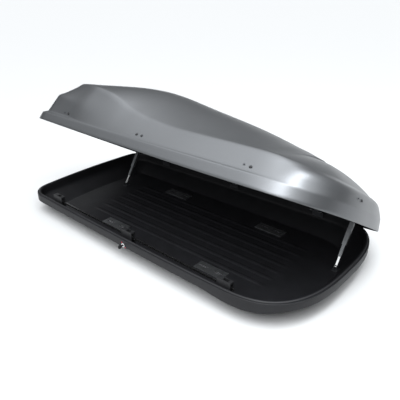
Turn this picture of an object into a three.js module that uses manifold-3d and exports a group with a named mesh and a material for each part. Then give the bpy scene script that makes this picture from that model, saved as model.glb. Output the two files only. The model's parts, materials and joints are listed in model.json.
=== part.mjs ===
// Roof cargo box, lid open. Millimetres, +X to the nose, -Y to the opening side, +Z up.
// Sections are drawn from the rear end (x = 0) and from the plane of the lid's lower edge
// (z = 0). The last step moves everything so the origin is at the middle of the floor's underside.
import * as THREE from "three";
import { mergeVertices } from "three/addons/utils/BufferGeometryUtils.js";
import Module from "manifold-3d";

const wasm = await Module();
wasm.setup();

// Overall size
const LENGTH = 1900;
const WIDTH = 990;
const FLOOR_DROP = 105;
const OPEN_DEG = 29.9;

// Plan outline of the lid's lower edge
const REAR_CORNER = 150;
const RIDGE_CORNER = 22;
const REAR_BOW = 26;
const REAR_TAPER = 24;
const NOSE_START = 1500;
const NOSE_POWER_X = 2.87;
const NOSE_POWER_Y = 2.85;
const NOSE_RISE = 13;
const REAR_STEPS = 4;
const CORNER_STEPS = 7;
const SIDE_STEPS = 14;
const NOSE_STEPS = 21;

// Lid section, as [distance in from the outline, height]
const SHEET = 4;
const SKIRT_HEIGHT = [[0, 44], [600, 45], [1300, 54], [1900, 54]];
const SKIRT_INSET = 8;
const LEDGE_DEPTH = [[0, 24], [150, 25], [300, 22], [420, 12], [560, 8], [1000, 9], [1500, 11],
  [1700, 6], [1840, 2], [1900, 2]];
const LEDGE_RISE = [[0, 14], [300, 15], [450, 9], [600, 8], [1900, 8]];
const COVE_REACH = [[0, 5], [400, 5], [700, 8], [1100, 15], [1500, 18], [1750, 22], [1900, 20]];
const SPINE_REAR = 330;
const SPINE_NOSE = 1610;
const CROWN = [[0, 262], [300, 328], [450, 369], [560, 386], [660, 387], [760, 377], [900, 354],
  [1080, 333], [1250, 311], [1400, 285], [1500, 265], [1610, 230], [1900, 150]];
const RIDGE_HEIGHT = [[0, 264], [150, 265], [300, 265], [413, 260], [484, 252], [553, 242],
  [640, 219], [723, 193], [800, 178], [873, 167], [1031, 156], [1216, 158], [1493, 165],
  [1610, 166], [1700, 160], [1900, 152]];
const RIDGE_INSET = [[0, 180], [60, 178], [140, 158], [220, 124], [300, 100], [420, 80],
  [1700, 74], [1820, 80], [1900, 82]];
const BEND_HEIGHT = [[0, 166], [150, 162], [290, 154], [430, 152], [560, 140], [800, 118],
  [1650, 116], [1800, 134], [1900, 136]];
const BEND_BULGE = [[0, 44], [120, 42], [290, 20], [430, 8], [600, 0], [1650, 0], [1800, 24],
  [1900, 29]];
const ROOF_STEPS = [0.14, 0.32, 0.54, 0.78];
const ROOF_ROUND = 1.9;

// Base section
const BAND_INSET = 22;
const BAND_TOP = 7.5;
const BAND_FOOT = -34;
const BAND_DEPTH = [[0, 0], [1380, 0], [1540, 13], [1700, 12], [1800, 0], [1900, 0]];
const FLOOR_EDGE = [[0, 130], [1600, 130], [1800, 120], [1900, 118]];

// Hinge line, well inside the far wall so it stays straight past the tapered rear
const HINGE_Y = 424;
const HINGE_Z = 12;
const HINGE_X = [330, 905, 1480];
const PIN_R = 2.4;
const KNUCKLE_BORE = 2.5;
const KNUCKLE_R = 5;
const LEAF_HALF = 32;
const KNUCKLE_HALF = 13;

// Latches, lock and locking bar on the opening side
const LATCH_X = [300, 897, 1520];
const LATCH_HALF = 37;
const LATCH_DEPTH = 26;
const LATCH_TOP = 42;
const LATCH_FOOT = -32;
const LATCH_FROM_WALL = 16;
const BAR_LOW = 5;
const BAR_HIGH = 15;
const LOCK_Z = -20;
const CAM_R = 13;
const BARREL_R = 8.5;
const PLUG_R = 6;

// Rivets through the lid wall
const RIVET_HEIGHT = [[300, 74], [900, 78], [1500, 88]];
const RIVET_PITCH = 34;
const RIVET_R = 2.3;
const RIVET_HEAD_R = 4.6;

// Telescopic lid stays, drawn open. Foot and head are [y, z].
const STAY_X = [240, 1755];
const STAY_FOOT = [138, -82];
const STAY_HEAD = [293.6, 157];
const STAY_LENGTH = Math.hypot(STAY_HEAD[0] - STAY_FOOT[0], STAY_HEAD[1] - STAY_FOOT[1]);
const STAY_MID_FROM = 50;
const STAY_SLEEVE_FROM = 112;
const STAY_TUBE = 110;
const BRACE_Y = -118;
const BRACE_Z = 110;

// Roof-bar slots
const BAR_SPREAD = 700;
const SLOT_PITCH_X = 92;
const SLOT_PITCH_Y = 520;
const SLOT_R = 4.5;
const SLOT_LENGTH = 56;

const GAP = 0.3;

function stations(table, x) {
  if (x <= table[0][0]) {
    return table[0][1];
  }
  for (let i = 1; i < table.length; i += 1) {
    const [x1, v1] = table[i];
    if (x <= x1) {
      const [x0, v0] = table[i - 1];
      const before = table[Math.max(i - 2, 0)];
      const after = table[Math.min(i + 1, table.length - 1)];
      const m0 = (v1 - before[1]) / Math.max(x1 - before[0], 1);
      const m1 = (after[1] - v0) / Math.max(after[0] - x0, 1);
      const h = x1 - x0;
      const t = (x - x0) / h;
      const t2 = t * t;
      const t3 = t2 * t;
      return (2 * t3 - 3 * t2 + 1) * v0 + (t3 - 2 * t2 + t) * h * m0
        + (-2 * t3 + 3 * t2) * v1 + (t3 - t2) * h * m1;
    }
  }
  return table[table.length - 1][1];
}

function rise(x) {
  const t = Math.min(Math.max((x / LENGTH - 0.55) / 0.45, 0), 1);
  return NOSE_RISE * t * t;
}

// Angle at which the rear corner's arc meets the tapered side
const CORNER_END = Math.PI / 2
  - Math.atan(REAR_TAPER * Math.PI / 2 / (NOSE_START - 2 * REAR_CORNER));

// One point of the plan outline on the opening side, moved in by inset.
// step runs from the middle of the rear edge to the tip of the nose.
function outlinePoint(step, inset) {
  const half = WIDTH / 2 - inset;
  const rearHalf = half - REAR_TAPER;
  const radius = Math.max(REAR_CORNER - inset, RIDGE_CORNER);
  const cornerStart = Math.atan(2 * REAR_BOW * (rearHalf - radius) / rearHalf ** 2);
  const centreY = rearHalf - radius * Math.sin(CORNER_END);
  const cornerY = centreY + radius * Math.sin(cornerStart);
  const bow = (y) => REAR_BOW * (y / rearHalf) ** 2;
  const centreX = inset + bow(cornerY) + radius * Math.cos(cornerStart);
  if (step <= REAR_STEPS) {
    const y = (step / REAR_STEPS) * cornerY;
    return [inset + bow(y), -y];
  }
  if (step <= REAR_STEPS + CORNER_STEPS) {
    const share = (step - REAR_STEPS) / CORNER_STEPS;
    const turn = cornerStart + (CORNER_END - cornerStart) * share;
    return [centreX - radius * Math.cos(turn), -centreY - radius * Math.sin(turn)];
  }
  if (step <= REAR_STEPS + CORNER_STEPS + SIDE_STEPS) {
    const share = (step - REAR_STEPS - CORNER_STEPS) / SIDE_STEPS;
    const start = centreX - radius * Math.cos(CORNER_END);
    return [start + (NOSE_START - start) * share,
      -rearHalf - REAR_TAPER * Math.sin(share * Math.PI / 2)];
  }
  const t = (step - REAR_STEPS - CORNER_STEPS - SIDE_STEPS) / NOSE_STEPS;
  const turn = (1 - t) * Math.PI / 2;
  const reach = LENGTH - inset - NOSE_START;
  const along = Math.max(Math.cos(turn), 0) ** (2 / NOSE_POWER_X);
  const across = Math.max(Math.sin(turn), 0) ** (2 / NOSE_POWER_Y);
  return [NOSE_START + reach * along, -half * across];
}

const HALF_STEPS = REAR_STEPS + CORNER_STEPS + SIDE_STEPS + NOSE_STEPS;

// A closed ring: pointAt gives [x, y, z] for a step on the opening side, the far side mirrors it.
function ring(pointAt) {
  const near = [];
  for (let step = 0; step <= HALF_STEPS; step += 1) {
    near.push(pointAt(step));
  }
  near[0][1] = 0;
  near[HALF_STEPS][1] = 0;
  const far = near.slice(1, HALF_STEPS).reverse().map(([x, y, z]) => [x, -y, z]);
  return [...near, ...far];
}

function levelRing(insetAt, heightAt) {
  return ring((step) => {
    const x0 = outlinePoint(step, 0)[0];
    const [x, y] = outlinePoint(step, insetAt(x0));
    return [x, y, heightAt(x0)];
  });
}

// Skins rings into one closed sheet. The first and last rings lie on the middle line.
function sheetOf(rings) {
  const positions = [];
  rings.forEach((points) => points.forEach((p) => positions.push(...p)));
  const count = rings[0].length;
  const index = [];
  for (let r = 0; r + 1 < rings.length; r += 1) {
    for (let i = 0; i < count; i += 1) {
      const a = r * count + i;
      const b = r * count + ((i + 1) % count);
      index.push(a, b, a + count, b, b + count, a + count);
    }
  }
  const raw = new THREE.BufferGeometry();
  raw.setAttribute("position", new THREE.Float32BufferAttribute(positions, 3));
  raw.setIndex(index);
  const merged = mergeVertices(raw, 0.01);
  const kept = [];
  const source = merged.index.array;
  for (let i = 0; i < source.length; i += 3) {
    const [a, b, c] = [source[i], source[i + 1], source[i + 2]];
    if (a !== b && b !== c && a !== c) {
      kept.push(a, b, c);
    }
  }
  merged.setIndex(kept);
  return volumeOf(merged) < 0 ? flipped(merged) : merged;
}

function volumeOf(geometry) {
  const p = geometry.attributes.position;
  const index = geometry.index.array;
  const [a, b, c] = [new THREE.Vector3(), new THREE.Vector3(), new THREE.Vector3()];
  let sum = 0;
  for (let i = 0; i < index.length; i += 3) {
    a.fromBufferAttribute(p, index[i]);
    b.fromBufferAttribute(p, index[i + 1]);
    c.fromBufferAttribute(p, index[i + 2]);
    sum += a.dot(b.cross(c)) / 6;
  }
  return sum;
}

function flipped(geometry) {
  const index = Array.from(geometry.index.array);
  for (let i = 0; i < index.length; i += 3) {
    [index[i + 1], index[i + 2]] = [index[i + 2], index[i + 1]];
  }
  geometry.setIndex(index);
  return geometry;
}

function solid(geometry) {
  const bare = geometry.clone();
  bare.deleteAttribute("normal");
  bare.deleteAttribute("uv");
  const merged = mergeVertices(bare, 0.0001);
  return new wasm.Manifold(new wasm.Mesh({
    numProp: 3,
    vertProperties: new Float32Array(merged.attributes.position.array),
    triVerts: new Uint32Array(merged.index.array),
  }));
}

function surface(manifold) {
  const mesh = manifold.getMesh();
  const geometry = new THREE.BufferGeometry();
  geometry.setAttribute("position", new THREE.BufferAttribute(mesh.vertProperties, 3));
  geometry.setIndex(new THREE.BufferAttribute(mesh.triVerts, 1));
  return geometry;
}

function join(geometries) {
  return geometries.slice(1).reduce((sum, g) => sum.add(solid(g)), solid(geometries[0]));
}

function cut(base, tools) {
  return tools.reduce((left, g) => left.subtract(solid(g)), base);
}

function block(x0, x1, y0, y1, z0, z1) {
  const box = new THREE.BoxGeometry(x1 - x0, y1 - y0, z1 - z0);
  return box.translate((x0 + x1) / 2, (y0 + y1) / 2, (z0 + z1) / 2);
}

// A round bar between two heights of one axis: axis is "x", "y" or "z".
function bar(axis, radius, from, to, a, b, sides = 18) {
  const rod = new THREE.CylinderGeometry(radius, radius, to - from, sides);
  const middle = (from + to) / 2;
  if (axis === "x") {
    return rod.rotateZ(-Math.PI / 2).translate(middle, a, b);
  }
  if (axis === "y") {
    return rod.translate(a, middle, b);
  }
  return rod.rotateX(Math.PI / 2).translate(a, b, middle);
}

// A section drawn as [y, z] pairs, run along X.
function runAlongX(section, x0, x1) {
  const shape = new THREE.Shape(section.map(([y, z]) => new THREE.Vector2(y, z)));
  const run = new THREE.ExtrudeGeometry(shape, { depth: x1 - x0, bevelEnabled: false });
  run.applyMatrix4(new THREE.Matrix4().set(0, 0, 1, x0, 1, 0, 0, 0, 0, 1, 0, 0, 0, 0, 0, 1));
  return run;
}

function openWithLid(geometry) {
  return geometry.translate(0, -HINGE_Y, -HINGE_Z)
    .rotateX(-THREE.MathUtils.degToRad(OPEN_DEG))
    .translate(0, HINGE_Y, HINGE_Z);
}

const parts = new THREE.Group();

function addPart(name, geometry, colour, roughness, metalness) {
  const body = geometry.translate(-LENGTH / 2, 0, FLOOR_DROP);
  body.computeVertexNormals();
  const material = new THREE.MeshStandardMaterial({ color: colour, roughness, metalness });
  const mesh = new THREE.Mesh(body, material);
  mesh.name = name;
  parts.add(mesh);
}

const BLACK = 0x17181a;
const GREY = 0x7d848b;
const STEEL = 0xa9adb1;
const DARK_STEEL = 0x56595c;

const PLATE = [SHEET + 2.4, SHEET + 4.9];
const PLATE_MIDDLE = (PLATE[0] + PLATE[1]) / 2;
const RIGHT_ANGLE = Math.PI / 2;
const RIDGE_SKIN = 0.8;
const WALL_REACH = 0.3;

function skirtTop(x) {
  return stations(SKIRT_HEIGHT, x) + rise(x);
}

function between(a, b, share) {
  return [a[0] + (b[0] - a[0]) * share, a[1] + (b[1] - a[1]) * share];
}

// Lid wall at a station along the box: [inset, height] of its lip, the hollow of the ledge,
// the bend and the ridge.
function lidWall(x) {
  const lip = [SKIRT_INSET, skirtTop(x)];
  const foot = [SKIRT_INSET + stations(LEDGE_DEPTH, x), skirtTop(x) + stations(LEDGE_RISE, x)];
  const ridge = [stations(RIDGE_INSET, x), stations(RIDGE_HEIGHT, x)];
  const height = stations(BEND_HEIGHT, x);
  const straight = between(foot, ridge, (height - foot[1]) / (ridge[1] - foot[1]));
  const bend = [straight[0] - stations(BEND_BULGE, x), height];
  const wall = Math.hypot(bend[0] - foot[0], bend[1] - foot[1]);
  const hollow = between(foot, bend, Math.min(stations(COVE_REACH, x) / wall, 0.49));
  return [lip, between(lip, foot, 0.6), hollow, bend, ridge];
}

function wallInset(x, z) {
  const points = lidWall(x);
  const next = points.findIndex((point) => point[1] > z);
  const [low, high] = [points[next - 1], points[next]];
  return low[0] + (high[0] - low[0]) * (z - low[1]) / (high[1] - low[1]);
}

// Rings of one face of the lid, from the lower edge to the middle of the roof.
function lidRings(skin) {
  const drops = [0.6, 0.8, 0.5, 0.25, 1];
  const rings = [levelRing(() => skin, rise)];
  drops.forEach((drop, i) => {
    const inward = i === drops.length - 1 ? RIDGE_SKIN : 1;
    rings.push(levelRing((x) => lidWall(x)[i][0] + skin * inward,
      (x) => lidWall(x)[i][1] - skin * drop));
  });
  const ridge = rings[rings.length - 1];
  [...ROOF_STEPS, 1].forEach((t) => {
    const lift = 1 - (1 - t) ** ROOF_ROUND;
    rings.push(ring((step) => {
      const [x, y, z] = ridge[step];
      const along = Math.min(Math.max(outlinePoint(step, 0)[0], SPINE_REAR), SPINE_NOSE);
      const crown = stations(CROWN, along) - skin;
      return [x + (along - x) * t, y * (1 - t), z + (crown - z) * lift];
    }));
  });
  return rings;
}

// Step of the outline where it reaches a station x (axis 0) or a distance y (axis 1).
function stepAt(axis, value, inset) {
  let low = REAR_STEPS + CORNER_STEPS;
  let high = HALF_STEPS;
  for (let i = 0; i < 40; i += 1) {
    const middle = (low + high) / 2;
    if (outlinePoint(middle, inset)[axis] < value) {
      low = middle;
    } else {
      high = middle;
    }
  }
  return low;
}

function sideHalf(x) {
  return -outlinePoint(stepAt(0, x, 0), 0)[1];
}

// Turns a fitting drawn flat (x along the wall, y inward, z up) to lie on the lid wall.
function wallMatrix(step, z) {
  const onWall = (at, height) => {
    const [x, y] = outlinePoint(at, wallInset(outlinePoint(at, 0)[0], height));
    return new THREE.Vector3(x, y, height);
  };
  const point = onWall(step, z);
  const ahead = onWall(Math.min(step + WALL_REACH, HALF_STEPS), z);
  const along = ahead.sub(onWall(step - WALL_REACH, z)).normalize();
  const above = onWall(step, z + 8).sub(point);
  const inward = new THREE.Vector3().crossVectors(above, along).normalize();
  const up = new THREE.Vector3().crossVectors(along, inward);
  return new THREE.Matrix4().makeBasis(along, inward, up).setPosition(point);
}

function mirrored(geometry) {
  return flipped(geometry.scale(1, -1, 1));
}

function rivetPair(inner) {
  return [-RIVET_PITCH / 2, RIVET_PITCH / 2].flatMap((x) => [
    bar("y", RIVET_R, -2, inner, x, 0, 12),
    bar("y", RIVET_HEAD_R, -3.2, -1.6, x, 0, 14),
  ]);
}

function rivetHoles() {
  return [-RIVET_PITCH / 2, RIVET_PITCH / 2].map((x) => bar("y", RIVET_R + 0.3, -4, 12, x, 0, 12));
}

function wallPlate(low, high) {
  return [block(-26, 26, PLATE[0], PLATE[1], low, high), ...rivetPair(PLATE[1] - 0.5)];
}

// Lid shell
const latchSteps = LATCH_X.map((x) => stepAt(0, x, 20));
const hingeSteps = HINGE_X.map((x) => stepAt(0, x, 20));
const noseStep = stepAt(1, BRACE_Y, 40);
const rearStep = REAR_STEPS * 0.42;
let lid = solid(sheetOf([...lidRings(0).reverse(), ...lidRings(SHEET)]));
const latchWalls = latchSteps.map((step, i) => (
  wallMatrix(step, stations(RIVET_HEIGHT, LATCH_X[i]))));
const hingeWalls = hingeSteps.map((step, i) => (
  wallMatrix(step, stations(RIVET_HEIGHT, HINGE_X[i]))));
latchWalls.forEach((wall) => {
  lid = cut(lid, rivetHoles().map((g) => g.applyMatrix4(wall)));
});
hingeWalls.forEach((wall) => {
  lid = cut(lid, rivetHoles().map((g) => mirrored(g.applyMatrix4(wall))));
});
[noseStep, rearStep].forEach((step) => {
  lid = cut(lid, rivetHoles().map((g) => g.applyMatrix4(wallMatrix(step, BRACE_Z))));
});
addPart("lid_shell", openWithLid(surface(lid)), GREY, 0.38, 0.45);

// Base shell: a single sheet with a turned-down band, a bead along the rim and a sunk floor
function baseRings() {
  const foot = (x) => BAND_FOOT - stations(BAND_DEPTH, x) + rise(x);
  const floorEdge = (x) => stations(FLOOR_EDGE, x);
  const at = (inset, z) => levelRing(() => inset, (x) => z + rise(x));
  const spine = (z) => ring((step) => {
    const x = Math.min(Math.max(outlinePoint(step, 0)[0], SPINE_REAR), SPINE_NOSE);
    return [x, 0, z];
  });
  const level = (shift, z) => levelRing((x) => floorEdge(x) + shift, () => z);
  return [
    spine(-FLOOR_DROP),
    level(0, -FLOOR_DROP),
    at(42, BAND_FOOT - 3),
    at(40, -1),
    at(38.5, 6.5),
    at(34.5, 9),
    at(31, 6),
    at(29, 0.5),
    at(BAND_INSET + SHEET, 3),
    levelRing(() => BAND_INSET + SHEET, foot),
    levelRing(() => BAND_INSET, foot),
    at(BAND_INSET, BAND_TOP - 2),
    at(BAND_INSET + 2, BAND_TOP),
    at(BAND_INSET + 5, 4.5),
    at(29.5, 10),
    at(34.5, 13),
    at(40, 11.5),
    at(44, 4),
    at(46, BAND_FOOT - 4),
    level(3, -FLOOR_DROP + SHEET),
    spine(-FLOOR_DROP + SHEET),
  ];
}

function slot(x, y) {
  const half = SLOT_LENGTH / 2 - SLOT_R;
  const deep = -FLOOR_DROP - 5;
  const high = -FLOOR_DROP + 12;
  return join([
    block(x - half, x + half, y - SLOT_R, y + SLOT_R, deep, high),
    bar("z", SLOT_R, deep, high, x - half, y, 24),
    bar("z", SLOT_R, deep, high, x + half, y, 24),
  ]);
}

const LOCK_X = LATCH_X[1] + 10;
const slotCentres = [-1, 1].flatMap((end) => [-1, 1].map((side) => (
  [LENGTH / 2 + end * BAR_SPREAD / 2, side * SLOT_PITCH_Y / 2])));
const slots = slotCentres.map(([x, y]) => [-1, 1].map((leg) => slot(x + leg * SLOT_PITCH_X / 2, y)));
let base = solid(sheetOf(baseRings()));
slots.flat().forEach((hole) => {
  base = base.subtract(hole);
});
base = cut(base, [bar("y", BARREL_R + 0.4, -500, -430, LOCK_X, LOCK_Z, 24)]);
addPart("base_shell", surface(base), BLACK, 0.55, 0);

// Slotted plates spread the load of the roof-bar clamps over the floor
const plateNames = ["rear_near", "rear_far", "front_near", "front_far"];
slotCentres.forEach(([x, y], i) => {
  const floor = -FLOOR_DROP + SHEET + GAP;
  let plate = solid(block(x - 86, x + 86, y - 32, y + 32, floor, floor + 2.5));
  slots[i].forEach((hole) => {
    plate = plate.subtract(hole);
  });
  addPart(`${plateNames[i]}_clamp_plate`, surface(plate), STEEL, 0.4, 0.9);
});

// Hinges on the far side: leaf on the base wall, leaf on the lid wall and a pin
const places = ["rear", "middle", "front"];
HINGE_X.forEach((x, i) => {
  const wall = sideHalf(x) - 46 - 1;
  const ears = [[-LEAF_HALF, -KNUCKLE_HALF - 0.5], [KNUCKLE_HALF + 0.5, LEAF_HALF]];
  const leaf = [block(x - LEAF_HALF, x + LEAF_HALF, wall - 2.5, wall, -28, HINGE_Z - 7)];
  ears.forEach(([from, to]) => {
    const arm = [[wall - 0.6, -9], [wall - 0.6, -4], [HINGE_Y + 1, HINGE_Z + 4.4],
      [HINGE_Y - 4.4, HINGE_Z - 1], [HINGE_Y - 3, HINGE_Z - 6]];
    leaf.push(runAlongX(arm, x + from, x + to));
    leaf.push(bar("x", KNUCKLE_R, x + from, x + to, HINGE_Y, HINGE_Z, 20));
  });
  const bore = bar("x", KNUCKLE_BORE, x - 60, x + 60, HINGE_Y, HINGE_Z, 20);
  addPart(`${places[i]}_hinge_base_leaf`, surface(cut(join(leaf), [bore])), DARK_STEEL, 0.45, 0.8);

  const matrix = hingeWalls[i];
  const low = new THREE.Vector3(0, PLATE_MIDDLE, -10).applyMatrix4(matrix);
  const lower = [-low.y, low.z];
  const arm = [[lower[0] + 1.2, lower[1] + 3], [lower[0] - 1.6, lower[1] + 1],
    [HINGE_Y - 1.6, HINGE_Z + 30], [HINGE_Y - 1.6, HINGE_Z], [HINGE_Y + 1.6, HINGE_Z],
    [HINGE_Y + 1.6, HINGE_Z + 27], [lower[0] + 1.2, lower[1] - 2.5]];
  const plate = wallPlate(-10, 13).map((g) => mirrored(g.applyMatrix4(matrix)));
  const lidLeaf = join([...plate,
    runAlongX(arm, x - KNUCKLE_HALF, x + KNUCKLE_HALF),
    bar("x", KNUCKLE_R, x - KNUCKLE_HALF, x + KNUCKLE_HALF, HINGE_Y, HINGE_Z, 20)]);
  const turned = openWithLid(surface(cut(lidLeaf, [bore])));
  addPart(`${places[i]}_hinge_lid_leaf`, turned, DARK_STEEL, 0.45, 0.8);

  const pin = join([
    bar("x", PIN_R, x - LEAF_HALF - 1, x + LEAF_HALF + 1, HINGE_Y, HINGE_Z, 20),
    bar("x", PIN_R + 1.6, x - LEAF_HALF - 2.6, x - LEAF_HALF - GAP, HINGE_Y, HINGE_Z, 20),
    bar("x", PIN_R + 1.6, x + LEAF_HALF + GAP, x + LEAF_HALF + 2.6, HINGE_Y, HINGE_Z, 20),
  ]);
  addPart(`${places[i]}_hinge_pin`, surface(pin), STEEL, 0.3, 0.95);
});

// Latch line follows the tapered wall: a straight run from the rear latch to the front one
const latchY = LATCH_X.map((x) => -(sideHalf(x) - 46 - LATCH_FROM_WALL));
const lineTurn = Math.atan2(latchY[2] - latchY[0], LATCH_X[2] - LATCH_X[0]);

function onLatchLine(geometry, x) {
  const y = latchY[0] + (x - LATCH_X[0]) * Math.tan(lineTurn);
  return geometry.rotateZ(lineTurn).translate(x, y, 0);
}

const halfDepth = LATCH_DEPTH / 2;
LATCH_X.forEach((x, i) => {
  const housing = cut(
    solid(block(-LATCH_HALF, LATCH_HALF, -halfDepth, halfDepth, LATCH_FOOT, LATCH_TOP)),
    [
      block(-LATCH_HALF - 2, LATCH_HALF + 2, 3 - halfDepth, halfDepth - 3, LATCH_FOOT + 2, 34),
      block(-8, 20, -8.5, 8.5, 30, LATCH_TOP + 2),
      bar("y", BARREL_R + 0.4, -halfDepth - 2, 0, LOCK_X - LATCH_X[1], LOCK_Z, 24),
    ],
  );
  addPart(`${places[i]}_latch_housing`, onLatchLine(surface(housing), x), BLACK, 0.5, 0);

  const hook = join([
    block(-31, -20, -4.6, -2.3, BAR_LOW - 1, 27),
    block(-31, -20, -4.6, 3, 20.5, 27),
    block(-21, -1, -3, 3, 20.5, 27),
  ]);
  addPart(`${places[i]}_latch_hook`, onLatchLine(surface(hook), x), STEEL, 0.35, 0.9);

  const half = sideHalf(x);
  const centre = half + latchY[0] + (x - LATCH_X[0]) * Math.tan(lineTurn);
  const matrix = latchWalls[i];
  const onPlate = (z) => {
    const point = new THREE.Vector3(6.5, PLATE_MIDDLE, z).applyMatrix4(matrix);
    return [point.y, point.z];
  };
  const gusset = [onPlate(-8), [centre - half - 7, 58], [centre - half - 7, 17.5],
    [centre - half + 7, 17.5], [centre - half + 7, 64], onPlate(10)];
  const window = block(x + 2, x + 12, centre - half - 4.6, centre - half + 4.6, 18.8, 29);
  const plate = wallPlate(-10, 13).map((g) => g.applyMatrix4(matrix));
  const striker = cut(join([...plate, runAlongX(gusset, x + 5, x + 8)]), [window]);
  addPart(`${places[i]}_lid_striker`, openWithLid(surface(striker)), DARK_STEEL, 0.4, 0.85);
});

// Locking bar slides along the wall and carries the hooks; its slotted tab takes the lock cam
const lockOffset = LOCK_X - LATCH_X[1];
const tabX = lockOffset - CAM_R * Math.sin(RIGHT_ANGLE / 2);
const lineAt = (x) => (x - LATCH_X[1]) / Math.cos(lineTurn);
const rod = cut(join([
  block(lineAt(LATCH_X[0]) - 48, lineAt(LATCH_X[2]) + 48, -2, 2, BAR_LOW, BAR_HIGH),
  block(tabX - 6, tabX + 6, -2, 2, LOCK_Z + 3, BAR_LOW + 1),
]), [block(tabX - 2.7, tabX + 2.7, -5, 5, LOCK_Z + 1, LOCK_Z + 17)]);
addPart("locking_bar", onLatchLine(surface(rod), LATCH_X[1]), STEEL, 0.35, 0.9);

// Lock: barrel through the band, plug with cam inside it, and the key
const lockY = latchY[0] + (LOCK_X - LATCH_X[0]) * Math.tan(lineTurn);
const bandFace = -(sideHalf(LOCK_X) - BAND_INSET);
const barrel = cut(join([
  bar("y", BARREL_R, bandFace - 2, lockY - halfDepth + 3, LOCK_X, LOCK_Z, 28),
  bar("y", BARREL_R + 3, bandFace - 2.6, bandFace - GAP - 0.4, LOCK_X, LOCK_Z, 28),
]), [bar("y", PLUG_R + 0.06, bandFace - 8, lockY, LOCK_X, LOCK_Z, 28)]);
addPart("lock_barrel", surface(barrel), STEEL, 0.25, 0.95);

const plug = cut(join([
  bar("y", PLUG_R, bandFace - 3.4, lockY - 6.6, LOCK_X, LOCK_Z, 28),
]), [block(LOCK_X - 1.4, LOCK_X + 1.4, bandFace - 6, bandFace + 16, LOCK_Z - 4.4, LOCK_Z + 4.4)]);
addPart("lock_plug", surface(plug), STEEL, 0.25, 0.95);

const camArm = join([
  bar("y", 7.5, -2.4, 0, 0, 0, 20),
  block(-3.6, 3.6, -2.4, 0, 0, CAM_R),
  bar("y", 3.6, -2.4, 0, 0, CAM_R, 16),
  bar("y", 2.1, -1, 9, 0, CAM_R, 14),
]);
const camFace = surface(camArm).rotateY(-RIGHT_ANGLE / 2).translate(LOCK_X, lockY - 3.9, LOCK_Z);
addPart("lock_cam", camFace, DARK_STEEL, 0.4, 0.85);

const key = join([
  block(LOCK_X - 1.1, LOCK_X + 1.1, bandFace - 16, bandFace + 14, LOCK_Z - 4, LOCK_Z + 4),
  bar("x", 11, LOCK_X - 2.6, LOCK_X + 2.6, bandFace - 22, LOCK_Z, 24),
]);
addPart("key", surface(key), BLACK, 0.5, 0);

// Telescopic stays: foot bracket on the floor, rod, middle tube, sleeve, and a brace on the lid
const stayTurn = -Math.atan2(STAY_HEAD[0] - STAY_FOOT[0], STAY_HEAD[1] - STAY_FOOT[1]);

function onStay(geometry, x) {
  return geometry.rotateX(stayTurn).translate(x, STAY_FOOT[0], STAY_FOOT[1]);
}

function tube(halfX, halfY, wall, from, to, closedTop) {
  const bore = block(-halfX + wall, halfX - wall, -halfY + wall, halfY - wall, from - 2,
    closedTop ? to - 3 : to + 2);
  return cut(solid(block(-halfX, halfX, -halfY, halfY, from, to)), [bore]);
}

const stayEnds = ["rear", "front"];
stayEnds.forEach((end, i) => {
  const x = STAY_X[i];
  const [footY, footZ] = STAY_FOOT;
  const floor = -FLOOR_DROP + SHEET + GAP;
  const bracket = join([
    block(x - 14, x + 14, footY - 20, footY + 20, floor, floor + 3),
    block(x - 9, x - 6, footY - 8, footY + 8, floor + 1, footZ + 6),
    block(x + 6, x + 9, footY - 8, footY + 8, floor + 1, footZ + 6),
    bar("x", 3, x - 8, x + 8, footY, footZ, 18),
  ]);
  addPart(`${end}_stay_foot`, surface(bracket), DARK_STEEL, 0.45, 0.8);

  const eye = cut(join([
    block(-5, 5, -2.5, 2.5, 0, STAY_SLEEVE_FROM),
    bar("x", 6.5, -5, 5, 0, 0, 18),
  ]), [bar("x", 3.08, -7, 7, 0, 0, 18)]);
  addPart(`${end}_stay_rod`, onStay(surface(eye), x), STEEL, 0.3, 0.9);

  const middle = tube(7.5, 5, 2, STAY_MID_FROM, STAY_MID_FROM + STAY_TUBE, false);
  addPart(`${end}_stay_middle_tube`, onStay(surface(middle), x), DARK_STEEL, 0.4, 0.6);

  const top = STAY_SLEEVE_FROM + STAY_TUBE + 5;
  const window = new THREE.CylinderGeometry(3.6, 3.6, 40, 18).rotateZ(RIGHT_ANGLE)
    .scale(1, 1, 2.4).translate(0, 0, top - 22);
  const neck = join([
    block(-4, 4, -4, 4, top - 2, STAY_LENGTH),
    bar("x", 6, -4, 4, 0, STAY_LENGTH, 18),
    bar("x", 3, -4, 16, 0, STAY_LENGTH, 18),
  ]);
  const sleeve = tube(10.5, 8, 2.4, STAY_SLEEVE_FROM, top, true).subtract(solid(window)).add(neck);
  addPart(`${end}_stay_sleeve`, onStay(surface(sleeve), x), DARK_STEEL, 0.45, 0.5);
});

// Braces inside the lid ends, riveted to the end walls, with a slotted ear for each stay
function closedPoint([y, z]) {
  const turn = THREE.MathUtils.degToRad(OPEN_DEG);
  const [dy, dz] = [y - HINGE_Y, z - HINGE_Z];
  return [HINGE_Y + dy * Math.cos(turn) - dz * Math.sin(turn),
    HINGE_Z + dy * Math.sin(turn) + dz * Math.cos(turn)];
}

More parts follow.
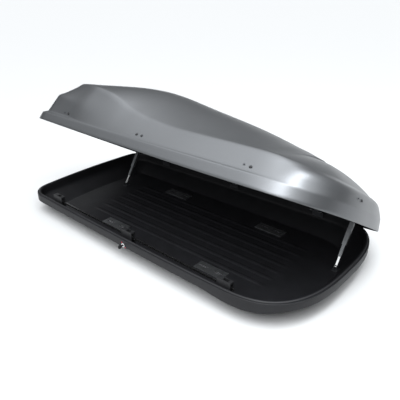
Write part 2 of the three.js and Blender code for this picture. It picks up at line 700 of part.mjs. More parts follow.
const headClosed = closedPoint(STAY_HEAD);
const slotTurn = THREE.MathUtils.degToRad(OPEN_DEG / 2) + stayTurn;
const braceSteps = [rearStep, noseStep];
const braceBar = [74, 1797];
stayEnds.forEach((end, i) => {
  const matrix = wallMatrix(braceSteps[i], BRACE_Z);
  const plate = wallPlate(-13, 13).map((g) => g.applyMatrix4(matrix));
  const anchor = new THREE.Vector3(0, PLATE_MIDDLE, -7).applyMatrix4(matrix);
  const at = braceBar[i];
  const [y, z] = headClosed;
  const earX = STAY_X[i] + 7.5;
  const spacer = block(Math.min(anchor.x, at), Math.max(anchor.x, at), anchor.y - 6, anchor.y + 6,
    anchor.z - 2, anchor.z + 2);
  const run = block(at - 1.5, at + 1.5, anchor.y - 20, y + 14, BRACE_Z - 26, BRACE_Z);
  const reachFrom = Math.min(earX, at);
  const reachTo = Math.max(earX + 3, at);
  const shelf = block(reachFrom, reachTo, y - 8, y + 14, BRACE_Z - 28, BRACE_Z - 24.5);
  const ear = block(earX, earX + 3, y - 8, y + 14, z - 13, BRACE_Z - 26);
  const longHole = join([
    bar("x", 3.7, earX - 2, earX + 6, 0, 0, 18),
    bar("x", 3.7, earX - 2, earX + 6, 7.6, 0, 18),
    block(earX - 2, earX + 6, 0, 7.6, -3.7, 3.7),
  ]);
  const cutter = surface(longHole).rotateX(slotTurn).translate(0, y, z);
  const brace = cut(join([...plate, spacer, run, shelf, ear]), [cutter]);
  addPart(`${end}_lid_brace`, openWithLid(surface(brace)), DARK_STEEL, 0.45, 0.8);
});

export default parts;
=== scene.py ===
"""Looks of the roof cargo box: smooth shells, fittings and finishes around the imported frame.

The shells are drawn in millimetres like the frame's own source: x from the rear end, z from
the plane of the closed lid's lower edge. to_frame() turns them into metres in the row frame.
"""

import json
import math

import bmesh
import bpy
import numpy as np
from mathutils import Matrix, Vector


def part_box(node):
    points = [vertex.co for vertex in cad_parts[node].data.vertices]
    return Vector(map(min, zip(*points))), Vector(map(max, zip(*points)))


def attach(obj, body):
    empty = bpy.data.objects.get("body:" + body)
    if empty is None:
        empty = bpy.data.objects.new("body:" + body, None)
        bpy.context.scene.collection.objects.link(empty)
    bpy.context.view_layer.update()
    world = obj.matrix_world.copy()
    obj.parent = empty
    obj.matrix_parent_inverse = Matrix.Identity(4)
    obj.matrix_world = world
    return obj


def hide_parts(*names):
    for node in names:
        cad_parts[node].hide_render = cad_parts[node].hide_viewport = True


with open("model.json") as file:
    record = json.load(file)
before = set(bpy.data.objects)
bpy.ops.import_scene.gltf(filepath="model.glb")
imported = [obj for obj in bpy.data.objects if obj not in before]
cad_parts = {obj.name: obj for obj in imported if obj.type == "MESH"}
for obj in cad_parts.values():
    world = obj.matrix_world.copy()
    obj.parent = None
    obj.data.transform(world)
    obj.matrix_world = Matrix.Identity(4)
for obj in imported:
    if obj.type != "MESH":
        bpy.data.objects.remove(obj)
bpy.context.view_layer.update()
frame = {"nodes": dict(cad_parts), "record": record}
nodes = frame["nodes"]

# Overall size, millimetres and degrees
LENGTH = 1900
WIDTH = 990
FLOOR_DROP = 105
OPEN_DEG = 29.9
HINGE_Y = 424
HINGE_Z = 12

# Plan outline of the lid's lower edge
REAR_CORNER = 150
RIDGE_CORNER = 22
REAR_BOW = 26
REAR_TAPER = 24
NOSE_START = 1500
NOSE_POWER_X = 2.87
NOSE_POWER_Y = 2.85
NOSE_RISE = 13

# Lid section
SHEET = 4
SKIRT_HEIGHT = [[0, 44], [600, 45], [1300, 54], [1900, 54]]
SKIRT_INSET = 8
LEDGE_DEPTH = [[0, 24], [150, 25], [300, 22], [420, 12], [560, 8], [1000, 9], [1500, 11], [1700, 6],
               [1840, 2], [1900, 2]]
LEDGE_RISE = [[0, 14], [300, 15], [450, 9], [600, 8], [1900, 8]]
SPINE_REAR = 330
SPINE_NOSE = 1610
CROWN = [[0, 262], [300, 328], [450, 369], [560, 386], [660, 387], [760, 377], [900, 354],
         [1080, 333], [1250, 311], [1400, 285], [1500, 265], [1610, 230], [1900, 150]]
RIDGE_HEIGHT = [[0, 264], [150, 265], [300, 265], [413, 260], [484, 252], [553, 242], [640, 219],
                [723, 193], [800, 178], [873, 167], [1031, 156], [1216, 158], [1493, 165], [1610, 166],
                [1700, 160], [1900, 152]]
RIDGE_INSET = [[0, 180], [60, 178], [140, 158], [220, 124], [300, 100], [420, 80], [1700, 74],
               [1820, 80], [1900, 82]]
BEND_HEIGHT = [[0, 166], [150, 162], [290, 154], [430, 152], [560, 140], [800, 118], [1650, 116],
               [1800, 134], [1900, 136]]
BEND_BULGE = [[0, 44], [120, 42], [290, 20], [430, 8], [600, 0], [1650, 0], [1800, 24], [1900, 29]]
ROOF_ROUND = 1.9

# How far each edge of the lid section is rounded, along the box
LIP_ROUND = [[0, 4], [1900, 5]]
COVE_ROUND = [[0, 5], [400, 5], [700, 8], [1100, 15], [1500, 18], [1750, 22], [1900, 20]]
BEND_ROUND = [[0, 6], [300, 20], [520, 40], [1900, 40]]
RIDGE_ROUND = [[0, 12], [350, 16], [600, 26], [1100, 24], [1400, 34], [1650, 60], [1900, 60]]

# Base section
BAND_INSET = 22
BAND_TOP = 7.5
BAND_FOOT = -34
BAND_DEPTH = [[0, 0], [1380, 0], [1540, 13], [1700, 12], [1800, 0], [1900, 0]]
FLOOR_EDGE = [[0, 130], [1600, 130], [1800, 120], [1900, 118]]
RIB_Y = [0, 66, 132, 198]
RIB_HALF = 13
RIB_HEIGHT = 3.2
RIB_FROM = 330
RIB_TO = 1580
RIB_END_SLOPE = 40
RIB_SIDE_SLOPE = 6

# Lock
LOCK_X = 907
LOCK_Z = -20

# Steps along one half of the outline: rear edge, corner, side, nose
STEPS = (14, 22, 60, 60)


def step_parts():
    """The part of the outline each step lies on, and how far along that part it is."""
    part, share = [], []
    for i, count in enumerate(STEPS):
        last = i == len(STEPS) - 1
        for k in range(count + last):
            part.append(i)
            share.append(k / count)
    return np.array(part), np.array(share)


PART, SHARE = step_parts()


def along(table, x):
    """A value along the box, read from [station, value] pairs as one smooth curve."""
    xs = np.array([p[0] for p in table], float)
    vs = np.array([p[1] for p in table], float)
    slopes = np.empty(len(xs))
    slopes[1:-1] = (vs[2:] - vs[:-2]) / (xs[2:] - xs[:-2])
    slopes[0] = (vs[1] - vs[0]) / (xs[1] - xs[0])
    slopes[-1] = (vs[-1] - vs[-2]) / (xs[-1] - xs[-2])
    x = np.clip(x, xs[0], xs[-1])
    i = np.clip(np.searchsorted(xs, x, side="right") - 1, 0, len(xs) - 2)
    h = xs[i + 1] - xs[i]
    t = (x - xs[i]) / h
    t2, t3 = t * t, t * t * t
    return ((2 * t3 - 3 * t2 + 1) * vs[i] + (t3 - 2 * t2 + t) * h * slopes[i]
            + (-2 * t3 + 3 * t2) * vs[i + 1] + (t3 - t2) * h * slopes[i + 1])


def rise(x):
    t = np.clip((x / LENGTH - 0.55) / 0.45, 0, 1)
    return NOSE_RISE * t * t


def outline(inset, part=PART, share=SHARE):
    """x and y of the opening half's outline, moved in by inset (a number or one per step)."""
    half = WIDTH / 2 - inset
    rear_half = half - REAR_TAPER
    radius = np.maximum(REAR_CORNER - inset, RIDGE_CORNER)
    first = np.arctan(2 * REAR_BOW * (rear_half - radius) / rear_half ** 2)
    last = math.pi / 2 - math.atan(REAR_TAPER * math.pi / 2 / (NOSE_START - 2 * REAR_CORNER))
    centre_y = rear_half - radius * np.sin(last)
    corner_y = centre_y + radius * np.sin(first)
    centre_x = inset + REAR_BOW * (corner_y / rear_half) ** 2 + radius * np.cos(first)
    rear_y = share * corner_y
    rear_x = inset + REAR_BOW * (rear_y / rear_half) ** 2
    turn = first + (last - first) * share
    corner_x = centre_x - radius * np.cos(turn)
    start = centre_x - radius * np.cos(last)
    side_x = start + (NOSE_START - start) * share
    side_y = rear_half + REAR_TAPER * np.sin(share * math.pi / 2)
    sweep = (1 - share) * math.pi / 2
    reach = LENGTH - inset - NOSE_START
    nose_x = NOSE_START + reach * np.maximum(np.cos(sweep), 0) ** (2 / NOSE_POWER_X)
    nose_y = half * np.maximum(np.sin(sweep), 0) ** (2 / NOSE_POWER_Y)
    x = np.select([part == 0, part == 1, part == 2], [rear_x, corner_x, side_x], nose_x)
    y = np.select([part == 0, part == 1, part == 2],
                  [rear_y, centre_y + radius * np.sin(turn), side_y], nose_y)
    return x, -y


STATION = outline(0)[0]


def half_ring(inset, height):
    x, y = outline(inset)
    return np.column_stack([x, y, np.broadcast_to(height, x.shape)])


def skirt_top(x):
    return along(SKIRT_HEIGHT, x) + rise(x)


def lid_wall(x):
    """(inset, height) of the lid wall's foot, bend and ridge at stations x."""
    foot = (SKIRT_INSET + along(LEDGE_DEPTH, x), skirt_top(x) + along(LEDGE_RISE, x))
    ridge = (along(RIDGE_INSET, x), along(RIDGE_HEIGHT, x))
    height = along(BEND_HEIGHT, x)
    t = (height - foot[1]) / (ridge[1] - foot[1])
    bend = (foot[0] + t * (ridge[0] - foot[0]) - along(BEND_BULGE, x), height)
    return foot, bend, ridge


def toward(a, b, distance):
    """The point that far from a toward b, at most halfway, for each step."""
    gap = b - a
    length = np.maximum(np.linalg.norm(gap, axis=1), 1e-6)
    share = np.minimum(distance / length, 0.49)
    return a + gap * share[:, None]


def rounded(controls, rounds, segments, pieces):
    """Rings along a section whose inner corners are rounded by curves of the given reach."""
    rings = [controls[0]]
    left = controls[0]
    for k in range(1, len(controls) - 1):
        corner = controls[k]
        reach = np.broadcast_to(rounds[k], STATION.shape)
        begin = toward(corner, controls[k - 1], reach)
        end = toward(corner, controls[k + 1], reach)
        rings += [left + (begin - left) * i / pieces[k - 1] for i in range(1, pieces[k - 1])]
        for i in range(segments + 1):
            t = i / segments
            rings.append(begin * (1 - t) ** 2 + corner * 2 * t * (1 - t) + end * t * t)
        left = end
    rings += [left + (controls[-1] - left) * i / pieces[-1] for i in range(1, pieces[-1] + 1)]
    return rings


def smooth_steps(ring, rounds):
    """Evens out one ring's height along its steps, mirrored at both ends."""
    z = ring[:, 2].copy()
    for _ in range(rounds):
        padded = np.concatenate([z[1:2], z, z[-2:-1]])
        z = (padded[:-2] + 2 * padded[1:-1] + padded[2:]) / 4
    return np.column_stack([ring[:, 0], ring[:, 1], z])


def lid_face(skin):
    """Half rings of one face of the lid, from its lower edge to the middle of the roof."""
    x = STATION
    foot, bend, ridge = lid_wall(x)
    top = skirt_top(x)
    crest = half_ring(ridge[0] + skin * 0.8, ridge[1] - skin)
    spine_x = np.clip(x, SPINE_REAR, SPINE_NOSE)
    crown = along(CROWN, spine_x) - skin

    def roof(t):
        lift = 1 - (1 - t) ** ROOF_ROUND
        return np.column_stack([crest[:, 0] + (spine_x - crest[:, 0]) * t,
                                crest[:, 1] * (1 - t),
                                crest[:, 2] + (crown - crest[:, 2]) * lift])

    first = 0.05
    controls = [
        half_ring(skin, rise(x) + 1.2),
        half_ring(SKIRT_INSET + skin, top - skin * 0.6),
        half_ring(foot[0] + skin, foot[1] - skin * 0.6),
        half_ring(bend[0] + skin, bend[1] - skin * 0.25),
        crest,
        roof(first),
    ]
    rounds = [0, along(LIP_ROUND, x), along(COVE_ROUND, x), along(BEND_ROUND, x),
              along(RIDGE_ROUND, x)]
    rings = rounded(controls, rounds, 6, [4, 2, 6, 8, 1])
    steps = np.linspace(first, 1, 30)[1:]
    rings += [smooth_steps(roof(t), int(40 * t)) for t in steps]
    return rings


def whole(half):
    """Adds the mirrored far side to half a ring."""
    near = half.copy()
    near[0, 1] = 0
    near[-1, 1] = 0
    far = near[1:-1][::-1] * [1, -1, 1]
    return np.vstack([near, far])


def to_frame(points, with_lid=False):
    """Millimetres from the rear end and rim plane, to metres in the row frame at rest."""
    p = np.array(points, float).reshape(-1, 3)
    if with_lid:
        turn = -math.radians(OPEN_DEG)
        y, z = p[:, 1] - HINGE_Y, p[:, 2] - HINGE_Z
        p = np.column_stack([p[:, 0], HINGE_Y + y * math.cos(turn) - z * math.sin(turn),
                             HINGE_Z + y * math.sin(turn) + z * math.cos(turn)])
    return (p + [-LENGTH / 2, 0, FLOOR_DROP]) / 1000


def new_object(name, mesh, materials, body):
    piece = bpy.data.objects.new(name, mesh)
    bpy.context.scene.collection.objects.link(piece)
    for material in materials:
        mesh.materials.append(material)
    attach(piece, body)
    return piece


def build_mesh(name, points, faces, merge=0.0, smooth_deg=35):
    mesh = bpy.data.meshes.new(name)
    mesh.from_pydata([tuple(p) for p in points], [], faces)
    work = bmesh.new()
    work.from_mesh(mesh)
    if merge:
        bmesh.ops.remove_doubles(work, verts=work.verts, dist=merge)
    bmesh.ops.recalc_face_normals(work, faces=work.faces)
    work.to_mesh(mesh)
    work.free()
    mesh.set_sharp_from_angle(angle=math.radians(smooth_deg))
    mesh.polygons.foreach_set("use_smooth", [True] * len(mesh.polygons))
    return mesh


def loft(name, rings, with_lid, material_at, smooth_deg=60):
    """Skins whole rings into one closed sheet. material_at gives each band's material."""
    count = len(rings[0])
    points = to_frame(np.vstack(rings), with_lid)
    faces = []
    for r in range(len(rings) - 1):
        for i in range(count):
            a, b = r * count + i, r * count + (i + 1) % count
            faces.append((a, b, b + count, a + count))
    mesh = bpy.data.meshes.new(name)
    mesh.from_pydata([tuple(p) for p in points], [], faces)
    bands = [material_at(i // count) for i in range(len(faces))]
    mesh.polygons.foreach_set("material_index", bands)
    work = bmesh.new()
    work.from_mesh(mesh)
    bmesh.ops.remove_doubles(work, verts=work.verts, dist=0.00002)
    bmesh.ops.recalc_face_normals(work, faces=work.faces)
    work.to_mesh(mesh)
    work.free()
    mesh.set_sharp_from_angle(angle=math.radians(smooth_deg))
    mesh.polygons.foreach_set("use_smooth", [True] * len(mesh.polygons))
    return mesh


# ---------------------------------------------------------------- finishes


def new_material(name):
    material = bpy.data.materials.new(name)
    material.use_nodes = True
    tree = material.node_tree
    shader = tree.nodes["Principled BSDF"]
    return material, tree, shader


def node(tree, kind, **values):
    made = tree.nodes.new(kind)
    for key, value in values.items():
        if hasattr(made, key):
            setattr(made, key, value)
        else:
            made.inputs[key.replace("_", " ")].default_value = value
    return made


def object_point(tree):
    return tree.nodes.new("ShaderNodeTexCoord").outputs["Object"]


def ramp(tree, source, low, high, low_colour, high_colour):
    made = tree.nodes.new("ShaderNodeValToRGB")
    made.color_ramp.elements[0].position = low
    made.color_ramp.elements[1].position = high
    made.color_ramp.elements[0].color = (*low_colour, 1)
    made.color_ramp.elements[1].color = (*high_colour, 1)
    tree.links.new(source, made.inputs["Fac"])
    return made.outputs["Color"]


def vary(tree, source, low, high):
    """Maps a 0-1 texture value to a range."""
    made = tree.nodes.new("ShaderNodeMapRange")
    made.inputs["To Min"].default_value = low
    made.inputs["To Max"].default_value = high
    tree.links.new(source, made.inputs["Value"])
    return made.outputs["Result"]


def noise(tree, scale, detail=3.0, roughness=0.55):
    made = node(tree, "ShaderNodeTexNoise", Scale=scale, Detail=detail, Roughness=roughness)
    tree.links.new(object_point(tree), made.inputs["Vector"])
    return made.outputs["Fac"]


def cells(tree, scale):
    made = node(tree, "ShaderNodeTexVoronoi", Scale=scale)
    made.feature = "SMOOTH_F1"
    tree.links.new(object_point(tree), made.inputs["Vector"])
    return made.outputs["Distance"]


def bump(tree, shader, heights):
    """Stacks bumps, each (height, strength, depth in metres), on the shader's normal."""
    normal = None
    for height, strength, depth in heights:
        made = node(tree, "ShaderNodeBump", Strength=strength, Distance=depth)
        tree.links.new(height, made.inputs["Height"])
        if normal:
            tree.links.new(normal, made.inputs["Normal"])
        normal = made.outputs["Normal"]
    tree.links.new(normal, shader.inputs["Normal"])


def tone(colour, share):
    return tuple(c * share for c in colour)


def satin_paint(name, colour):
    """Satin metallic grey: flake sparkle, faint orange peel and a little uneven gloss."""
    material, tree, shader = new_material(name)
    flakes = cells(tree, 1400)
    tree.links.new(ramp(tree, flakes, 0.1, 0.7, tone(colour, 1.16), tone(colour, 0.88)),
                   shader.inputs["Base Color"])
    cloud = noise(tree, 9, 4)
    tree.links.new(vary(tree, cloud, 0.31, 0.38), shader.inputs["Roughness"])
    shader.inputs["Metallic"].default_value = 0.78
    shader.inputs["Specular IOR Level"].default_value = 0.4
    shader.inputs["Coat Weight"].default_value = 0.06
    shader.inputs["Coat Roughness"].default_value = 0.35
    bump(tree, shader, [(noise(tree, 260, 2), 0.06, 0.0003), (flakes, 0.04, 0.0001)])
    return material


def grained_plastic(name, colour, roughness, grain_scale, grain_strength):
    """Moulded black plastic with leather grain, dust-pale wear and uneven gloss."""
    material, tree, shader = new_material(name)
    cloud = noise(tree, 14, 5)
    tree.links.new(ramp(tree, cloud, 0.3, 0.75, tone(colour, 0.85), tone(colour, 1.25)),
                   shader.inputs["Base Color"])
    fine = noise(tree, 60, 3)
    tree.links.new(vary(tree, fine, roughness - 0.06, roughness + 0.07),
                   shader.inputs["Roughness"])
    shader.inputs["Specular IOR Level"].default_value = 0.28
    bump(tree, shader, [(cells(tree, grain_scale), grain_strength, 0.0003),
                        (noise(tree, 30, 2), 0.03, 0.0006)])
    return material


def plated_steel(name, colour, roughness, metallic=1.0, brush=40):
    """Plated or coated sheet steel with fine drawn lines and a little mottling."""
    material, tree, shader = new_material(name)
    mottle = noise(tree, 45, 4)
    tree.links.new(ramp(tree, mottle, 0.3, 0.75, tone(colour, 0.82), tone(colour, 1.12)),
                   shader.inputs["Base Color"])
    stretch = node(tree, "ShaderNodeMapping")
    stretch.inputs["Scale"].default_value = (brush, brush * 30, brush * 30)
    lines = node(tree, "ShaderNodeTexNoise", Scale=1.0, Detail=2.0)
    tree.links.new(object_point(tree), stretch.inputs["Vector"])
    tree.links.new(stretch.outputs["Vector"], lines.inputs["Vector"])
    tree.links.new(vary(tree, lines.outputs["Fac"], roughness - 0.08, roughness + 0.1),
                   shader.inputs["Roughness"])
    shader.inputs["Metallic"].default_value = metallic
    bump(tree, shader, [(lines.outputs["Fac"], 0.05, 0.0001), (mottle, 0.04, 0.0002)])
    return material


LID_GREY = satin_paint("lid_grey_satin", (0.135, 0.139, 0.145))
LID_INSIDE = grained_plastic("lid_inside_black", (0.008, 0.008, 0.0095), 0.55, 500, 0.08)
BASE_BLACK = grained_plastic("base_black_grained", (0.0085, 0.0085, 0.0098), 0.5, 620, 0.3)
MOULDED = grained_plastic("moulded_black", (0.014, 0.014, 0.015), 0.42, 900, 0.15)
ZINC = plated_steel("zinc_sheet", (0.55, 0.56, 0.58), 0.36)
COATED = plated_steel("dark_coated_steel", (0.09, 0.093, 0.1), 0.42, 0.8)
STAY = plated_steel("stay_grey_coat", (0.16, 0.165, 0.17), 0.4, 0.6, 25)
BRIGHT = plated_steel("bright_plated_steel", (0.62, 0.62, 0.62), 0.24)
RED = grained_plastic("red_mark", (0.55, 0.012, 0.03), 0.4, 900, 0.08)


# ---------------------------------------------------------------- shells


def lid_rings():
    outer = [whole(r) for r in lid_face(0)]
    inner = [whole(r) for r in lid_face(SHEET)]
    edge = [whole(half_ring(inset, rise(STATION) + up)) for inset, up in
            ((SHEET - 0.4, 0.35), (SHEET - 1.2, 0), (1.2, 0), (0.4, 0.35))]
    return inner[::-1] + edge + outer, len(inner)


def make_lid():
    rings, inner_count = lid_rings()
    mesh = loft("lid_shell_smooth", rings, True, lambda band: int(band < inner_count), 50)
    piece = new_object("lid_shell_smooth", mesh, [LID_GREY, LID_INSIDE], "lid")
    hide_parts("lid_shell")
    return piece


def floor_ribs(x, y):
    """Height of the pressed ribs along the floor, clear of the clamp plates."""
    ends = np.clip((x - RIB_FROM) / RIB_END_SLOPE, 0, 1)
    ends = ends * np.clip((RIB_TO - x) / RIB_END_SLOPE, 0, 1)
    height = np.zeros_like(x)
    for centre in RIB_Y:
        off = np.clip((RIB_HALF - np.abs(np.abs(y) - centre)) / RIB_SIDE_SLOPE, 0, 1)
        height = np.maximum(height, off * off * (3 - 2 * off))
    return RIB_HEIGHT * height * ends


def floor_face(shift, level):
    """Half rings of the floor from its edge to the middle line."""
    x = STATION
    edge = half_ring(along(FLOOR_EDGE, x) + shift, level)
    spine = np.clip(x, SPINE_REAR, SPINE_NOSE)
    rings = []
    for t in np.linspace(0, 1, 76)[1:]:
        px = edge[:, 0] + (spine - edge[:, 0]) * t
        py = edge[:, 1] * (1 - t)
        rings.append(np.column_stack([px, py, level + floor_ribs(px, py)]))
    return edge, rings


def base_rings():
    x = STATION
    foot = BAND_FOOT - along(BAND_DEPTH, x) + rise(x)

    def at(inset, z):
        return half_ring(inset, z + rise(x))

    under_edge, under = floor_face(0, -FLOOR_DROP)
    floor_edge, floor = floor_face(3, -FLOOR_DROP + SHEET)
    controls = [
        under[0], under_edge,
        at(42, BAND_FOOT - 3), at(40, -1), at(38.5, 6.5), at(34.5, 9), at(31, 6), at(29, 0.5),
        at(BAND_INSET + SHEET, 3), half_ring(BAND_INSET + SHEET, foot), half_ring(BAND_INSET, foot),
        at(BAND_INSET, BAND_TOP - 1), at(BAND_INSET + 2.5, BAND_TOP + 0.5),
        at(BAND_INSET + 5, 4.2), at(29, 10.6), at(34.5, 13.6), at(40.5, 11.4), at(44, 3),
        at(46, BAND_FOOT - 4),
        floor_edge, floor[0],
    ]
    rounds = [0, 14, 8, 3, 2, 2, 2, 1.5, 1, 1.2, 1.2, 1.6, 1.6, 1.6, 3, 3.2, 3, 3, 10, 16]
    pieces = [1, 8] + [1] * (len(controls) - 5) + [10, 1]
    rings = rounded(controls, rounds, 4, pieces)
    return [whole(r) for r in under[:0:-1] + rings + floor[1:]]


def prism(name, section, direction, from_, to):
    """A cutter or trim solid: a closed section run along an axis. section gives 3-D points."""
    count = len(section)
    step = np.array(direction, float)
    points = [np.array(p) + step * from_ for p in section]
    points += [np.array(p) + step * to for p in section]
    faces = [tuple(range(count))[::-1], tuple(range(count, 2 * count))]
    faces += [(i, (i + 1) % count, (i + 1) % count + count, i + count) for i in range(count)]
    mesh = bpy.data.meshes.new(name)
    mesh.from_pydata([tuple(p) for p in points], [], faces)
    return mesh


def circle(radius, count, centre, axes):
    """Points of a circle in the plane of two of the three axes."""
    points = []
    for i in range(count):
        turn = 2 * math.pi * i / count
        p = list(centre)
        p[axes[0]] += radius * math.cos(turn)
        p[axes[1]] += radius * math.sin(turn)
        points.append(p)
    return points


def slot_section(x, y, half, radius, z):
    points = []
    for end in (1, -1):
        for i in range(13):
            turn = (i / 12 - 0.5) * math.pi + (0 if end > 0 else math.pi)
            points.append([x + end * half + radius * math.cos(turn), y + radius * math.sin(turn), z])
    return points


def cut_away(piece, cutters):
    """Cuts every cutter mesh out of the piece and removes the cutters."""
    work = bmesh.new()
    for mesh in cutters:
        work.from_mesh(mesh)
    bmesh.ops.recalc_face_normals(work, faces=work.faces)
    tool = bpy.data.meshes.new("cutter")
    work.to_mesh(tool)
    work.free()
    cutter = bpy.data.objects.new("cutter", tool)
    bpy.context.scene.collection.objects.link(cutter)
    modifier = piece.modifiers.new("cut", "BOOLEAN")
    modifier.operation = "DIFFERENCE"
    modifier.solver = "EXACT"
    modifier.object = cutter
    bpy.context.view_layer.update()
    graph = bpy.context.evaluated_depsgraph_get()
    cut = bpy.data.meshes.new_from_object(piece.evaluated_get(graph), depsgraph=graph)
    piece.modifiers.clear()
    piece.data = cut
    bpy.data.objects.remove(cutter)


# Cuts through the base, metres: the slots of the clamp plates and the hole of the lock
SLOT_FROM_MIDDLE = 0.046
SLOT_HALF = 0.0235
SLOT_R = 0.0045
LOCK_HOLE_R = 0.0089


def make_base():
    mesh = loft("base_shell_smooth", base_rings(), False, lambda band: 0, 50)
    piece = new_object("base_shell_smooth", mesh, [BASE_BLACK], "base")
    cutters = []
    for name in nodes:
        if not name.endswith("_clamp_plate"):
            continue
        low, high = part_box(name)
        middle = (low + high) / 2
        for leg in (-1, 1):
            section = slot_section(middle.x + leg * SLOT_FROM_MIDDLE, middle.y, SLOT_HALF, SLOT_R, 0)
            cutters.append(prism("slot", section, (0, 0, 1), -0.01, 0.012))
    centre = to_frame([[LOCK_X, 0, LOCK_Z]])[0]
    hole = circle(LOCK_HOLE_R, 32, (centre[0], 0, centre[2]), (0, 2))
    cutters.append(prism("lock_hole", hole, (0, 1, 0), -0.5, -0.43))
    cut_away(piece, cutters)
    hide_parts("base_shell")
    return piece


make_lid()
make_base()


# ---------------------------------------------------------------- fittings


def finish_node(name, material, bevel=0.0005):
    piece = nodes[name]
    piece.data.materials.clear()
    piece.data.materials.append(material)
    soften = piece.modifiers.new("soften", "BEVEL")
    soften.width = bevel
    soften.segments = 2
    soften.limit_method = "ANGLE"
    soften.angle_limit = math.radians(35)
    soften.harden_normals = False
    piece.data.polygons.foreach_set("use_smooth", [True] * len(piece.data.polygons))
    piece.data.set_sharp_from_angle(angle=math.radians(35))


SLOT_FINISH = {
    "black_plastic": MOULDED,
    "zinc_steel": ZINC,
    "coated_steel": COATED,
    "stay_tube": STAY,
    "bright_steel": BRIGHT,
}
for row in frame["record"]["subparts"]:
    if row["material_slot"] in SLOT_FINISH:
        finish_node(row["node"], SLOT_FINISH[row["material_slot"]])


# Domed rivet heads, metres
HEAD_BAND = 0.0006
HEAD_R = 0.0054
HEAD_RISE = 0.0016
HEAD_SUNK = 0.0006


def rivet_places(name, outward):
    """The outer middle of each of a node's two rivet heads, and the way that they face."""
    points = np.array([v.co for v in nodes[name].data.vertices])
    reach = points @ np.array(outward)
    outer = points[reach > reach.max() - HEAD_BAND]
    spread = np.linalg.svd(outer - outer.mean(0), full_matrices=False)[2]
    side = (outer - outer.mean(0)) @ spread[0] > 0
    centres = [Vector(outer[side].mean(0)), Vector(outer[~side].mean(0))]
    facing = Vector(spread[2])
    if facing.dot(Vector(outward)) < 0:
        facing.negate()
    return centres, facing


def dome(radius, height, rings=5, count=20):
    """A rounded rivet head: points and faces about its own axis, z out."""
    points = [(0, 0, height)]
    for r in range(1, rings + 1):
        turn = r / rings * math.pi / 2
        points += [(radius * math.sin(turn) * math.cos(2 * math.pi * i / count),
                    radius * math.sin(turn) * math.sin(2 * math.pi * i / count),
                    height * math.cos(turn)) for i in range(count)]
    points += [(x, y, -HEAD_RISE) for x, y, _ in points[-count:]]
    points.append((0, 0, -HEAD_RISE))
    faces = [(0, 1 + i, 1 + (i + 1) % count) for i in range(count)]
    for r in range(rings):
        a = 1 + r * count
        faces += [(a + i, a + count + i, a + count + (i + 1) % count, a + (i + 1) % count)
                  for i in range(count)]
    last = 1 + rings * count
    faces += [(last + i, len(points) - 1, last + (i + 1) % count) for i in range(count)]
    return points, faces


def rivet_heads(name, fitting, outward):
    """Domed heads over the two rivets that hold a fitting to the lid wall."""
    centres, facing = rivet_places(fitting, outward)
    across = facing.orthogonal().normalized()
    up = facing.cross(across)
    points, faces = [], []
    for centre in centres:
        head, sides = dome(HEAD_R, HEAD_RISE)
        start = len(points)
        points += [tuple(centre + across * x + up * y + facing * (z - HEAD_SUNK))
                   for x, y, z in head]
        faces += [tuple(i + start for i in f) for f in sides]
    mesh = build_mesh(name, points, faces)
    return new_object(name, mesh, [MOULDED], "lid")


# Outward directions of the lid's walls at rest, with the lid open
NEAR_WALL = (0, -0.75, 0.66)
FAR_WALL = (0, 0.99, -0.1)
NOSE_WALL = (1, 0, 0.05)
REAR_WALL = (-0.98, 0, 0.15)
for label in ("rear", "middle", "front"):
    rivet_heads(f"{label}_striker_rivet_heads", f"{label}_lid_striker", NEAR_WALL)
    rivet_heads(f"{label}_hinge_rivet_heads", f"{label}_hinge_lid_leaf", FAR_WALL)
rivet_heads("nose_brace_rivet_heads", "front_lid_brace", NOSE_WALL)
rivet_heads("rear_brace_rivet_heads", "rear_lid_brace", REAR_WALL)


# The red marks beside the lock, metres and degrees round the barrel
MARK_GAP = 0.0045
MARK_R = 0.0032
MARK_RISE = 0.0007
MARK_TURNS = (140, -40)


def lock_marks():
    """Two small raised red marks on the band, above left and below right of the lock."""
    low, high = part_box("lock_barrel")
    band = bpy.data.objects["base_shell_smooth"]
    bpy.context.view_layer.update()
    reach = (high[0] - low[0]) / 2 + MARK_GAP
    points, faces = [], []
    for degrees in MARK_TURNS:
        turn = math.radians(degrees)
        start = ((low[0] + high[0]) / 2 + reach * math.cos(turn), low[1] - 0.1,
                 (low[2] + high[2]) / 2 + reach * math.sin(turn))
        found, place, facing, _ = band.ray_cast(start, (0, 1, 0))
        assert found, "no band behind a lock mark"
        across = facing.orthogonal().normalized()
        up = facing.cross(across)
        mark, sides = dome(MARK_R, MARK_RISE)
        first = len(points)
        points += [tuple(place + across * x + up * y + facing * z) for x, y, z in mark]
        faces += [tuple(i + first for i in f) for f in sides]
    new_object("lock_marks", build_mesh("lock_marks", points, faces), [RED], "base")


lock_marks()


# ---------------------------------------------------------------- stage, light and camera


CAMERA_AT = (1.5901, -1.7774, 1.3517)
CAMERA_LOOK = (-0.58583, 0.67856, -0.44313)
CAMERA_LENS = 43.68
FLOOR_HALF = 45
FLOOR_LEVEL = -0.001


def camera():
    data = bpy.data.cameras.new("camera")
    data.lens = CAMERA_LENS
    data.sensor_width = 36
    data.clip_start = 0.05
    data.clip_end = 50
    eye = bpy.data.objects.new("camera", data)
    bpy.context.scene.collection.objects.link(eye)
    look = Vector(CAMERA_LOOK).normalized()
    right = look.cross(Vector((0, 0, 1))).normalized()
    up = right.cross(look)
    turn = Matrix((right, up, -look)).transposed()
    eye.matrix_world = Matrix.Translation(CAMERA_AT) @ turn.to_4x4()
    bpy.context.scene.camera = eye


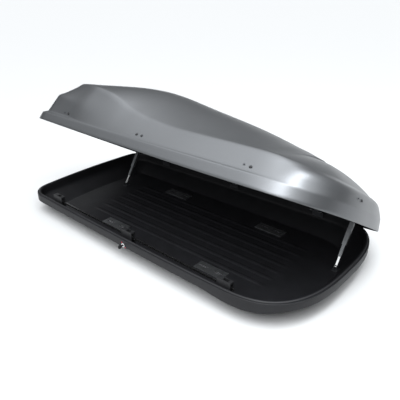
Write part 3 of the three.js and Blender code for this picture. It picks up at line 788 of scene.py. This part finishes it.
def soft_light(name, place, target, size, power, colour=(1, 1, 1), long_side=(0, 1, 0)):
    """A soft rectangular lamp whose long side lies along long_side."""
    data = bpy.data.lights.new(name, "AREA")
    data.shape = "RECTANGLE"
    data.size, data.size_y = size
    data.energy = power
    data.color = colour
    lamp = bpy.data.objects.new(name, data)
    bpy.context.scene.collection.objects.link(lamp)
    back = (Vector(place) - Vector(target)).normalized()
    across = Vector(long_side).cross(back).normalized()
    turn = Matrix((across, back.cross(across), back)).transposed()
    lamp.matrix_world = Matrix.Translation(place) @ turn.to_4x4()


def floor():
    corners = ((-1, -1), (1, -1), (1, 1), (-1, 1))
    points = [(x * FLOOR_HALF, y * FLOOR_HALF, FLOOR_LEVEL) for x, y in corners]
    mesh = bpy.data.meshes.new("floor")
    mesh.from_pydata(points, [], [(0, 1, 2, 3)])
    ground = bpy.data.objects.new("floor", mesh)
    bpy.context.scene.collection.objects.link(ground)
    material, _, shader = new_material("floor_white")
    shader.inputs["Base Color"].default_value = (0.5, 0.5, 0.5, 1)
    shader.inputs["Roughness"].default_value = 0.9
    shader.inputs["Specular IOR Level"].default_value = 0.1
    mesh.materials.append(material)


# Brightness of the studio by direction: (position along an axis from -1 to 1, share)
STUDIO_ALONG_X = [(-1.0, 0.1), (-0.85, 0.14), (-0.6, 0.5), (-0.3, 0.8), (0.0, 0.95), (0.16, 1.0),
                  (0.3, 0.8), (0.5, 0.6), (0.7, 0.5), (1.0, 0.1)]
STUDIO_ALONG_Z = [(-1.0, 0.1), (0.0, 0.12), (0.3, 0.2), (0.5, 0.42), (0.75, 1.0), (1.0, 1.0)]
STUDIO_ALONG_Y = [(-1.0, 1.0), (0.15, 1.0), (0.4, 0.78), (0.65, 0.36), (1.0, 0.27)]
STUDIO_STRENGTH = 4.4


def share_ramp(tree, source, table):
    """Reads a table of (position, share) with a value that runs from -1 to 1."""
    place = node(tree, "ShaderNodeMath")
    place.operation = "MULTIPLY_ADD"
    place.inputs[1].default_value = 0.5
    place.inputs[2].default_value = 0.5
    tree.links.new(source, place.inputs[0])
    made = tree.nodes.new("ShaderNodeValToRGB")
    made.color_ramp.interpolation = "EASE"
    while len(made.color_ramp.elements) < len(table):
        made.color_ramp.elements.new(0.5)
    for element, (position, share) in zip(made.color_ramp.elements, table):
        element.position = (position + 1) / 2
        element.color = (share, share, share, 1)
    tree.links.new(place.outputs[0], made.inputs["Fac"])
    return made.outputs["Color"]


# Sockets of a colour mix node
MIX_FACTOR = 0
MIX_FIRST = 6
MIX_SECOND = 7
MIX_COLOUR = 2


def multiply(tree, first, second):
    """Multiplies two colours."""
    made = tree.nodes.new("ShaderNodeMix")
    made.data_type = "RGBA"
    made.blend_type = "MULTIPLY"
    made.inputs[MIX_FACTOR].default_value = 1
    tree.links.new(first, made.inputs[MIX_FIRST])
    tree.links.new(second, made.inputs[MIX_SECOND])
    return made.outputs[MIX_COLOUR]


def surroundings():
    """A studio that is bright overhead, darker behind the box and in front of its nose."""
    world = bpy.data.worlds.new("studio")
    bpy.context.scene.world = world
    world.use_nodes = True
    tree = world.node_tree
    back = tree.nodes["Background"]
    way = tree.nodes.new("ShaderNodeSeparateXYZ")
    tree.links.new(tree.nodes.new("ShaderNodeTexCoord").outputs["Generated"], way.inputs[0])
    light = share_ramp(tree, way.outputs["X"], STUDIO_ALONG_X)
    light = multiply(tree, light, share_ramp(tree, way.outputs["Y"], STUDIO_ALONG_Y))
    light = multiply(tree, light, share_ramp(tree, way.outputs["Z"], STUDIO_ALONG_Z))
    tint = node(tree, "ShaderNodeRGB")
    tint.outputs[0].default_value = (0.955, 0.98, 1.0, 1)
    tree.links.new(multiply(tree, light, tint.outputs[0]), back.inputs["Color"])
    back.inputs["Strength"].default_value = STUDIO_STRENGTH


camera()
floor()
surroundings()
soft_light("overhead", (1.25, -0.7, 2.9), (0.9, -0.3, 0.6), (0.9, 3.4), 80, (0.93, 0.97, 1.0))
soft_light("front_strip", (1.1, -2.9, 2.25), (0.45, -0.45, 0.3), (0.8, 1.6), 30,
           (0.95, 0.975, 1.0), (1, 0, 0))
bpy.context.scene.view_settings.view_transform = "Standard"
